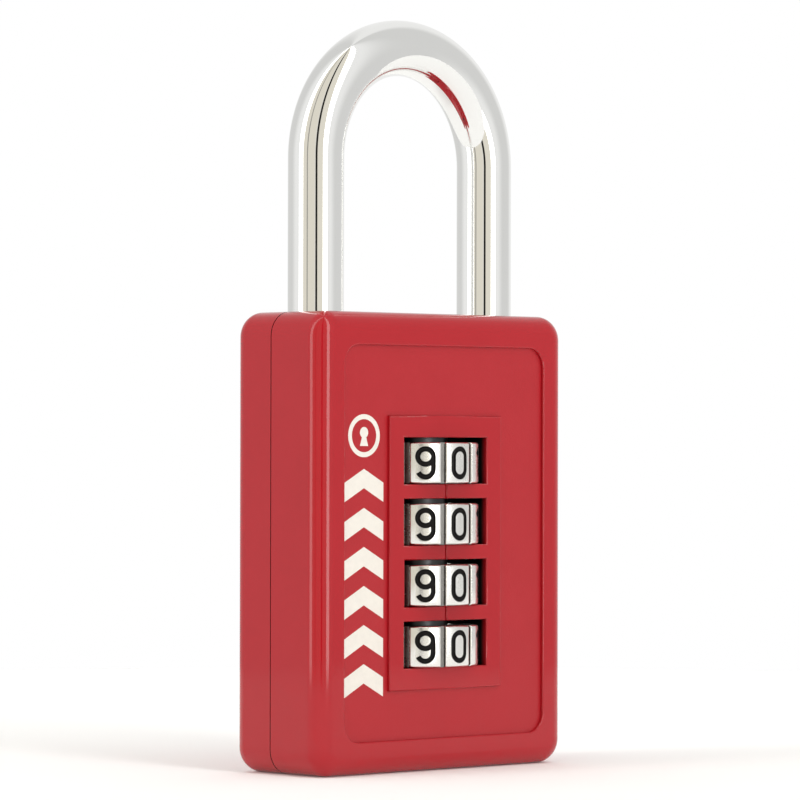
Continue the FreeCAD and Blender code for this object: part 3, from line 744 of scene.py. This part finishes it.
shackle = {
    "sides": 96,
    "arcSteps": 96,
    "legSteps": 10,
    "endChamfer": 0.8 * millimetre,
    "toeUnderTop": 5.61 * millimetre,      # end of the toe leg under the top of the case
    "neckRadius": 2.025 * millimetre,
    "neckGap": 0.2 * millimetre,           # over and under the lift plate
    "step": 0.03 * millimetre,             # from the full bar to the neck
    "sharpFrom": 25,                       # degrees
}


def makeShackle(v):
    low, high = nodeBox("shackle")
    bar = high.y
    crown = high.z - bar - legSide
    neckLow = nodeBox("lift_plate")[0].z - v["neckGap"]
    neckHigh = nodeBox("lift_plate")[1].z + v["neckGap"]
    toeEnd = caseTop - v["toeUnderTop"]
    stops = [(low.z, bar - v["endChamfer"]), (low.z + v["endChamfer"], bar),
             (neckLow - v["step"], bar), (neckLow, v["neckRadius"]),
             (neckHigh, v["neckRadius"]), (neckHigh + v["step"], bar)]
    points = [(-legSide, z, radius) for z, radius in stops]
    top = neckHigh + v["step"]
    points += [(-legSide, top + (crown - top) * step / v["legSteps"], bar)
               for step in range(1, v["legSteps"])]
    for step in range(v["arcSteps"] + 1):
        turn = math.pi * step / v["arcSteps"]
        points.append((-legSide * math.cos(turn), crown + legSide * math.sin(turn), bar))
    bottom = toeEnd + v["endChamfer"]
    points += [(legSide, crown + (bottom - crown) * step / v["legSteps"], bar)
               for step in range(1, v["legSteps"] + 1)]
    points.append((legSide, toeEnd, bar - v["endChamfer"]))
    curve = pathCurve("shackleBar")
    addPath(curve, [(x, 0, z, radius) for x, z, radius in points])
    piece = runTree(ownObject("shackleBar", curve), sweepTree,
                    {"Sides": v["sides"], "Material": barChrome})
    smoothMesh(piece, v["sharpFrom"])
    return declare(piece, "shackle", "chrome_bar", "shackle")


makeShackle(shackle)
print("shackle made")


# springs: the ends follow whatever they press on

springs = {
    "shackle": {
        "coilRadius": 2.15 * millimetre,
        "wireRadius": 0.35 * millimetre,
        "turns": 10.5,
        "closedTurns": 1.0,
        "stepsPerTurn": 32,
        "sides": 10,
        "sharpFrom": 40,             # degrees
    },
    "reset": {
        "coilRadius": 3.055 * millimetre,
        "wireRadius": 0.225 * millimetre,
        "turns": 3.5,
        "closedTurns": 0.6,
        "stepsPerTurn": 40,
        "sides": 10,
        "sharpFrom": 40,             # degrees
    },
}


def makeSpring(v, pieceName, nodeName, moving):
    low, high = nodeBox(nodeName)
    middle = (low + high) / 2
    place = (middle.x, middle.y, low.z)
    start = pointsObject(pieceName, [(0, 0, 0)])
    piece = runTree(start, coilTree, {
        "Coil radius": v["coilRadius"], "Wire radius": v["wireRadius"], "Turns": v["turns"],
        "Height": high.z - low.z, "Closed turns": v["closedTurns"],
        "Steps": int(v["turns"] * v["stepsPerTurn"]), "Sides": v["sides"], "Place": place,
        "Material": springSteel})
    smoothMesh(piece, v["sharpFrom"])
    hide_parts(nodeName)
    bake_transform(piece, "case", moving, (middle.x, middle.y, low.z + v["wireRadius"]),
             (middle.x, middle.y, high.z - v["wireRadius"]))
    return piece


makeSpring(springs["shackle"], "shackleSpring", "shackle_spring", "shackle")
makeSpring(springs["reset"], "resetSpring", "reset_spring", "reset_collar")
print("springs made")


# dials: ten slightly rounded pads with a groove between each two, and a cut digit on each

dial = {
    "count": 4,
    "digits": 10,
    "grooveHalf": 2.47,                  # degrees, half of a groove
    "grooveDepth": 0.45 * millimetre,
    "padDrop": 0.10 * millimetre,        # a pad is this much lower at its ends than its middle
    "padSteps": 20,
    # degrees past the end of a pad, and how far the surface has dropped there
    "padEdge": [(0.3, 0.025 * millimetre), (0.55, 0.08 * millimetre), (0.75, 0.17 * millimetre)],
    # distance in from either end of the rim, and how far the surface is let in there
    "rimEdge": [(0.0, 0.25 * millimetre), (0.05 * millimetre, 0.12 * millimetre),
                (0.13 * millimetre, 0.035 * millimetre), (0.26 * millimetre, 0.0)],
    "boreNarrow": 3.52 * millimetre,
    "boreWide": 4.02 * millimetre,
    "boreStep": -0.1 * millimetre,       # from the middle of the dial
    "notchHalf": 10.2,                   # degrees, each side of a groove
    "strokeRadius": 0.31 * millimetre,
    "strokeSides": 10,
    "strokeDepth": 0.03 * millimetre,    # middle of a stroke under the surface
    "digitScale": 0.97,
    "pathStep": 0.25,                    # millimetres between the points of a stroke
    "wallLean": 0.12,                    # degrees, foot of a groove's wall
    "notchLean": 0.1,                    # degrees, either side of a notch's wall
    "stepHeight": 0.01 * millimetre,
    "sharpFrom": 30,                     # degrees
}


def padEnd(v):
    return 180 / v["digits"] - v["grooveHalf"] - v["padEdge"][-1][0]


def padFall(v, turn):
    return v["padDrop"] * (turn / padEnd(v)) ** 2


def dialTurns(v):
    # for each sample round the dial: angle, drop of the pad, whether it is groove, whether notch
    half = 180 / v["digits"]
    grooveStart = half - v["grooveHalf"]
    grooveFloor = grooveStart + v["wallLean"]
    end = padEnd(v)
    notchStart = half - v["notchHalf"]
    lean = v["notchLean"]
    inside = [end * (2 * step / v["padSteps"] - 1) for step in range(v["padSteps"] + 1)]
    inside += [side * (notchStart + step) for side in (-1, 1) for step in (-lean, lean)]
    sector = [(turn, padFall(v, turn), False) for turn in sorted(inside)]
    after = [(end + step, v["padDrop"] + drop, False) for step, drop in v["padEdge"]]
    before = [(-turn, drop, groove) for turn, drop, groove in reversed(after)]
    floor = [(grooveFloor, v["grooveDepth"], True), (half, v["grooveDepth"], True)]
    leadIn = [(-grooveFloor, v["grooveDepth"], True)]
    samples = []
    for digit in range(v["digits"]):
        for turn, drop, groove in leadIn + before + sector + after + floor:
            samples.append((math.radians(2 * half * digit + turn), drop, groove,
                            abs(turn) > notchStart))
    return samples


def dialBody(v, radius, halfHeight):
    samples = dialTurns(v)
    floorRadius = radius - v["grooveDepth"]
    lower = [(inset - halfHeight, drop) for inset, drop in v["rimEdge"]]
    upper = [(-height, drop) for height, drop in reversed(lower)]
    loops = []
    for height, inset in lower + upper:
        loops.append([(max(floorRadius, radius - drop - inset), height)
                      for turn, drop, groove, notch in samples])
    narrow = [v["boreWide"] if notch else v["boreNarrow"] for turn, drop, groove, notch in samples]
    loops.append([(size, halfHeight) for size in narrow])
    loops.append([(size, v["boreStep"]) for size in narrow])
    loops.append([(v["boreWide"], v["boreStep"] - v["stepHeight"]) for size in narrow])
    loops.append([(v["boreWide"], -halfHeight) for size in narrow])
    points = []
    for loop in loops:
        for (turn, drop, groove, notch), (size, height) in zip(samples, loop):
            points.append((size * math.sin(turn), -size * math.cos(turn), height))
    count = len(samples)
    faces, marks = [], []
    for row in range(len(loops)):
        above = (row + 1) % len(loops)
        for step in range(count):
            ahead = (step + 1) % count
            faces.append((row * count + step, row * count + ahead,
                          above * count + ahead, above * count + step))
            # faces in and beside a groove get material 1, the chrome with residue and painted shade
            outer = row < len(lower + upper) - 1
            marks.append(1 if outer and (samples[step][2] or samples[ahead][2]) else 0)
    mesh = bpy.data.meshes.new("dialBody")
    mesh.from_pydata(points, [], faces)
    mesh.materials.append(dialChrome)
    mesh.materials.append(grooveChrome)
    mesh.materials.append(blackFill)
    mesh.polygons.foreach_set("material_index", marks)
    mesh.update()
    return ownObject("dialBody", mesh)


def arc(x, z, across, high, start, end, steps=20):
    return [(x + across * math.cos(math.radians(start + (end - start) * step / steps)),
             z + high * math.sin(math.radians(start + (end - start) * step / steps)))
            for step in range(steps + 1)]


# middle lines of the digits in millimetres, each a list of (closed, points)
nine = arc(0, 0.74, 0.925, 0.885, 0, 360, 36)[:-1]
nineTail = [(0.925, 0.74)] + arc(0, -0.70, 0.925, 0.925, 0, -155, 20)
digitLines = [
    [(True, arc(0, 0.70, 0.925, 0.925, 0, 180) + arc(0, -0.70, 0.925, 0.925, 180, 360))],
    [(False, [(-0.55, 0.95), (0.15, 1.625), (0.15, -1.625)])],
    [(False, arc(0, 0.70, 0.925, 0.925, 165, -40) + [(-0.925, -1.625), (0.925, -1.625)])],
    [(False, arc(0, 0.82, 0.80, 0.805, 150, -90)),
     (False, arc(0, -0.75, 0.87, 0.875, 90, -150))],
    [(False, [(0.35, -1.625), (0.35, 1.625), (-0.95, -0.65), (0.95, -0.65)])],
    [(False, [(0.80, 1.625), (-0.70, 1.625), (-0.80, 0.20)]
      + arc(-0.02, -0.62, 0.98, 1.0, 130, -145))],
    [(True, [(-x, -z) for x, z in nine]), (False, [(-x, -z) for x, z in nineTail])],
    [(False, [(-0.925, 1.625), (0.925, 1.625), (-0.25, -1.625)])],
    [(True, arc(0, 0.82, 0.78, 0.805, 0, 360, 36)[:-1]),
     (True, arc(0, -0.76, 0.92, 0.865, 0, 360, 36)[:-1])],
    [(True, nine), (False, nineTail)],
]


def alongLine(points, step):
    # more points on the long straight parts, so that they bend round the dial
    out = [points[0]]
    for first, second in zip(points, points[1:]):
        length = math.hypot(second[0] - first[0], second[1] - first[1])
        count = max(1, math.ceil(length / step))
        for index in range(1, count + 1):
            share = index / count
            out.append((first[0] + (second[0] - first[0]) * share,
                        first[1] + (second[1] - first[1]) * share))
    return out


def digitCutter(v, radius):
    curve = pathCurve("digitLines")
    for digit, lines in enumerate(digitLines):
        for closed, points in lines:
            path = alongLine(points + points[:1] if closed else points, v["pathStep"])
            places = []
            for x, z in path[:-1] if closed else path:
                turn = math.degrees(x * v["digitScale"] * millimetre / radius)
                surface = radius - padFall(v, turn) - v["strokeDepth"]
                around = math.radians(360 / v["digits"] * digit + turn)
                places.append((surface * math.sin(around), -surface * math.cos(around),
                               z * v["digitScale"] * millimetre, v["strokeRadius"]))
            addPath(curve, places, closed)
    return runTree(ownObject("digitLines", curve), sweepTree,
                   {"Sides": v["strokeSides"], "Material": blackFill})


def makeDials(v):
    low, high = nodeBox("dial_1")
    radius = (high.y - low.y) / 2
    body = dialBody(v, radius, (high.z - low.z) / 2)
    cutter = digitCutter(v, radius)
    cut = body.modifiers.new("digits", "BOOLEAN")
    cut.operation = "DIFFERENCE"
    cut.solver = "EXACT"
    cut.use_self = True
    cut.material_mode = "TRANSFER"
    cut.object = cutter
    finishModifiers(body)
    bpy.data.objects.remove(cutter)
    smoothMesh(body, v["sharpFrom"])
    print("dial cut:", len(body.data.polygons), "faces,",
          [material.name for material in body.data.materials])
    for number in range(1, v["count"] + 1):
        low, high = nodeBox(f"dial_{number}")
        mesh = body.data.copy()
        mesh.transform(Matrix.Translation((low + high) / 2))
        piece = ownObject(f"dial{number}", mesh)
        declare(piece, f"dial_{number}", "chrome_dial", f"dial_{number}")
    bpy.data.objects.remove(body)


makeDials(dial)
print("dials made")


# print on the sunk panel: a ring with a keyhole over a column of chevrons

marking = {
    "middle": -12.35 * millimetre,
    "halfWidth": 2.95 * millimetre,
    "proud": 0.015 * millimetre,
    "panelDepth": 0.4 * millimetre,
    "bottom": 8.75 * millimetre,
    "pitch": 4.35 * millimetre,
    "count": 6,
    "rise": 1.55 * millimetre,
    "band": 2.15 * millimetre,
    "ringMiddle": 37.9 * millimetre,
    "ringOuter": 2.4 * millimetre,
    "ringInner": 1.85 * millimetre,
    "keyRadius": 0.62 * millimetre,
    "keyLift": 0.35 * millimetre,
    "keyArc": (-58, 238, 40),    # degrees, open towards the foot, and steps
    "keyFoot": (0.62 * millimetre, -1.15 * millimetre),
    "sides": 64,
}


def flatPrint(name, outlines, faces, thickness):
    mesh = bpy.data.meshes.new(name)
    points = [(x, 0, z) for x, z in outlines]
    mesh.from_pydata(points, [], faces)
    build = bmesh.new()
    build.from_mesh(mesh)
    grown = bmesh.ops.extrude_face_region(build, geom=build.faces[:])
    moved = [item for item in grown["geom"] if isinstance(item, bmesh.types.BMVert)]
    bmesh.ops.translate(build, verts=moved, vec=(0, thickness, 0))
    bmesh.ops.recalc_face_normals(build, faces=build.faces[:])
    build.to_mesh(mesh)
    build.free()
    return ownObject(name, mesh)


def makeMarking(v):
    front = frontFace + v["panelDepth"] - v["proud"]
    half, rise, band = v["halfWidth"], v["rise"], v["band"]
    shape = flatPrint("chevron", [(-half, 0), (0, rise), (half, 0), (half, band),
                                  (0, rise + band), (-half, band)],
                      [(0, 1, 4, 5), (1, 2, 3, 4)], v["proud"])
    places = [(v["middle"], front, v["bottom"] + v["pitch"] * step) for step in range(v["count"])]
    chevrons = repeatShape("chevrons", shape, places, whiteInk)
    sides = v["sides"]
    circle = [(math.cos(2 * math.pi * step / sides), math.sin(2 * math.pi * step / sides))
              for step in range(sides)]
    outline = [(v["ringOuter"] * x, v["ringOuter"] * z) for x, z in circle]
    outline += [(v["ringInner"] * x, v["ringInner"] * z) for x, z in circle]
    faces = [(step, (step + 1) % sides, sides + (step + 1) % sides, sides + step)
             for step in range(sides)]
    start = len(outline)
    foot, drop = v["keyFoot"]
    outline += arc(0, v["keyLift"], v["keyRadius"], v["keyRadius"], *v["keyArc"])
    outline += [(-foot, drop), (foot, drop)]
    faces.append(tuple(range(start, len(outline))))
    badge = flatPrint("ringBadge", outline, faces, v["proud"])
    badge.data.transform(Matrix.Translation((v["middle"], front, v["ringMiddle"])))
    badge.data.materials.append(whiteInk)
    for piece in (chevrons, badge):
        declare(piece, "case", "red_paint")


makeMarking(marking)
print("marking printed")


# case rivets: the closed heads lie flush in the back of the case

rivet = {
    "headRadius": 1.9 * millimetre,
    "headHeight": 1.0 * millimetre,
    "shankRadius": 1.1 * millimetre,
    "edge": 0.08 * millimetre,
    "dimpleRadius": 0.85 * millimetre,
    "dimpleDepth": 0.12 * millimetre,
    "sides": 64,
    "sharpFrom": 30,             # degrees
}


def lathe(name, profile, sides, material):
    # profile: (radius, height) from one end of the axis to the other, about the Y axis
    points, faces, rings = [], [], []
    for radius, height in profile:
        if radius == 0:
            rings.append([len(points)] * sides)
            points.append((0, height, 0))
            continue
        rings.append(list(range(len(points), len(points) + sides)))
        for step in range(sides):
            turn = 2 * math.pi * step / sides
            points.append((radius * math.cos(turn), height, radius * math.sin(turn)))
    for first, second in zip(rings, rings[1:]):
        for step in range(sides):
            ahead = (step + 1) % sides
            corners = [first[step], first[ahead], second[ahead], second[step]]
            faces.append(tuple(dict.fromkeys(corners)))
    mesh = bpy.data.meshes.new(name)
    mesh.from_pydata(points, [], faces)
    build = bmesh.new()
    build.from_mesh(mesh)
    bmesh.ops.recalc_face_normals(build, faces=build.faces[:])
    build.to_mesh(mesh)
    build.free()
    mesh.materials.append(material)
    return ownObject(name, mesh)


def makeRivets(v):
    low, high = nodeBox("case_rivets")
    head, length = v["headRadius"], high.y - low.y
    profile = [(0, -v["dimpleDepth"]), (v["dimpleRadius"], -v["dimpleDepth"]),
               (v["dimpleRadius"] + v["dimpleDepth"], 0), (head - v["edge"], 0),
               (head, -v["edge"]), (head, -v["headHeight"]), (v["shankRadius"], -v["headHeight"]),
               (v["shankRadius"], -length), (0, -length)]
    shape = lathe("rivetShape", profile, v["sides"], rivetPaint)
    side, bottom, top = high.x - head, low.z + head, high.z - head
    places = [(-side, high.y, bottom), (side, high.y, bottom),
              (side, high.y, (bottom + top) / 2), (side, high.y, top)]
    piece = repeatShape("caseRivets", shape, places, rivetPaint)
    smoothMesh(piece, v["sharpFrom"])
    declare(piece, "case", "red_paint", "case_rivets")


makeRivets(rivet)
print("rivets made")


# pieces inside the case, as they are in the model but with smooth round surfaces

innerPieces = [
    ("bottom_bushing", "bottomBushing", turnedBrass, "case", "brass_part"),
    ("detent_spring", "detentSpring", springSteel, "case", "spring_steel"),
    ("detent_rivets", "detentRivets", stampedSteel, "case", "steel"),
    ("spindle", "liftSpindle", castZinc, "spindle", "zinc"),
    ("lift_plate", "liftPlate", stampedSteel, "spindle", "steel"),
    ("reset_collar", "resetCollar", blackSteel, "reset_collar", "black_steel"),
]
innerPieces += [(f"clutch_{number}", f"clutch{number}", blackSteel, f"clutch_{number}",
                 "black_steel") for number in range(1, dial["count"] + 1)]


for nodeName, pieceName, material, body, slotName in innerPieces:
    declare(cleanCopy(nodeName, pieceName, [material]), body, slotName, nodeName)
print("inner pieces made")


# the model's own pieces carry the same finishes

nodeFinish = {
    "front_case": smoothPaint, "rear_case": smoothPaint, "case_rivets": rivetPaint,
    "shackle": barChrome, "shackle_spring": springSteel, "reset_spring": springSteel,
}
nodeFinish.update({f"dial_{number}": dialChrome for number in range(1, dial["count"] + 1)})
nodeFinish.update({entry[0]: entry[2] for entry in innerPieces})
for nodeName, material in nodeFinish.items():
    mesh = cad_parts[nodeName].data
    mesh.materials.clear()
    mesh.materials.append(material)
print("model finished:", len(nodeFinish), "nodes")
